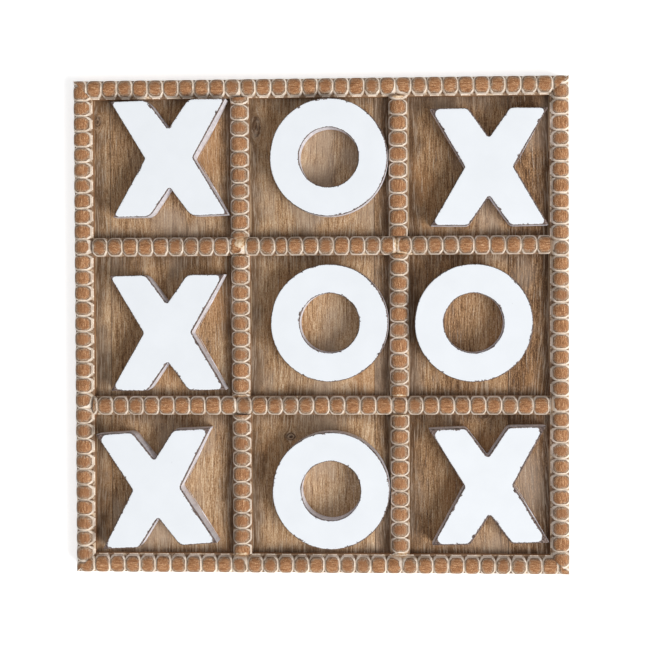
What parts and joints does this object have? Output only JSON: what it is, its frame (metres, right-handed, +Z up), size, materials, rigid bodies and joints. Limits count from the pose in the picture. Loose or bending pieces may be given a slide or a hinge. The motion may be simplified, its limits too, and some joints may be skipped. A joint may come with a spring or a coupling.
{
  "type": "tic tac toe set",
  "caption": "Square plank board with a mitred beaded-wood frame and a beaded grid, holding thick cut-out wooden X and O playing pieces in distressed white paint.",
  "frame": {"origin": "middle of the board's underside", "axes": "+Z up through the thickness, towards the player; +X along the rows, to the right; +Y along the columns, to the top row"},
  "size_m": [0.3556, 0.3556, 0.0286],
  "materials": {
    "floor_wood": "weathered brown, open vertical grain",
    "rail_wood": "rubbed brown stain over whitewash left in the grooves",
    "brad_steel": "bare steel",
    "white_paint": "matt white paint, worn through at the edges"
  },
  "bodies": {
    "board": {"floor_plank_1": "floor_wood", "floor_plank_2": "floor_wood", "floor_plank_3": "floor_wood", "floor_plank_4": "floor_wood", "floor_plank_5": "floor_wood", "frame_rail_top": "rail_wood", "frame_rail_bottom": "rail_wood", "frame_rail_left": "rail_wood", "frame_rail_right": "rail_wood", "divider_upper": "rail_wood", "divider_lower": "rail_wood", "divider_left_upper": "rail_wood", "divider_left_middle": "rail_wood", "divider_left_lower": "rail_wood", "divider_right_upper": "rail_wood", "divider_right_middle": "rail_wood", "divider_right_lower": "rail_wood", "floor_brads": "brad_steel"},
    "x_top_left": {"x_piece_top_left": "white_paint"},
    "x_top_right": {"x_piece_top_right": "white_paint"},
    "x_middle_left": {"x_piece_middle_left": "white_paint"},
    "x_bottom_left": {"x_piece_bottom_left": "white_paint"},
    "x_bottom_right": {"x_piece_bottom_right": "white_paint"},
    "o_top_middle": {"o_piece_top_middle": "white_paint"},
    "o_centre": {"o_piece_centre": "white_paint"},
    "o_middle_right": {"o_piece_middle_right": "white_paint"},
    "o_bottom_middle": {"o_piece_bottom_middle": "white_paint"}
  },
  "joints": [
    {"name": "x_top_left_lift", "type": "slide", "parent": "board", "child": "x_top_left", "axis": [0, 0, 1], "range_m": [0, 0.04]},
    {"name": "x_top_right_lift", "type": "slide", "parent": "board", "child": "x_top_right", "axis": [0, 0, 1], "range_m": [0, 0.04]},
    {"name": "x_middle_left_lift", "type": "slide", "parent": "board", "child": "x_middle_left", "axis": [0, 0, 1], "range_m": [0, 0.04]},
    {"name": "x_bottom_left_lift", "type": "slide", "parent": "board", "child": "x_bottom_left", "axis": [0, 0, 1], "range_m": [0, 0.04]},
    {"name": "x_bottom_right_lift", "type": "slide", "parent": "board", "child": "x_bottom_right", "axis": [0, 0, 1], "range_m": [0, 0.04]},
    {"name": "o_top_middle_lift", "type": "slide", "parent": "board", "child": "o_top_middle", "axis": [0, 0, 1], "range_m": [0, 0.04]},
    {"name": "o_centre_lift", "type": "slide", "parent": "board", "child": "o_centre", "axis": [0, 0, 1], "range_m": [0, 0.04]},
    {"name": "o_middle_right_lift", "type": "slide", "parent": "board", "child": "o_middle_right", "axis": [0, 0, 1], "range_m": [0, 0.04]},
    {"name": "o_bottom_middle_lift", "type": "slide", "parent": "board", "child": "o_bottom_middle", "axis": [0, 0, 1], "range_m": [0, 0.04]}
  ]
}
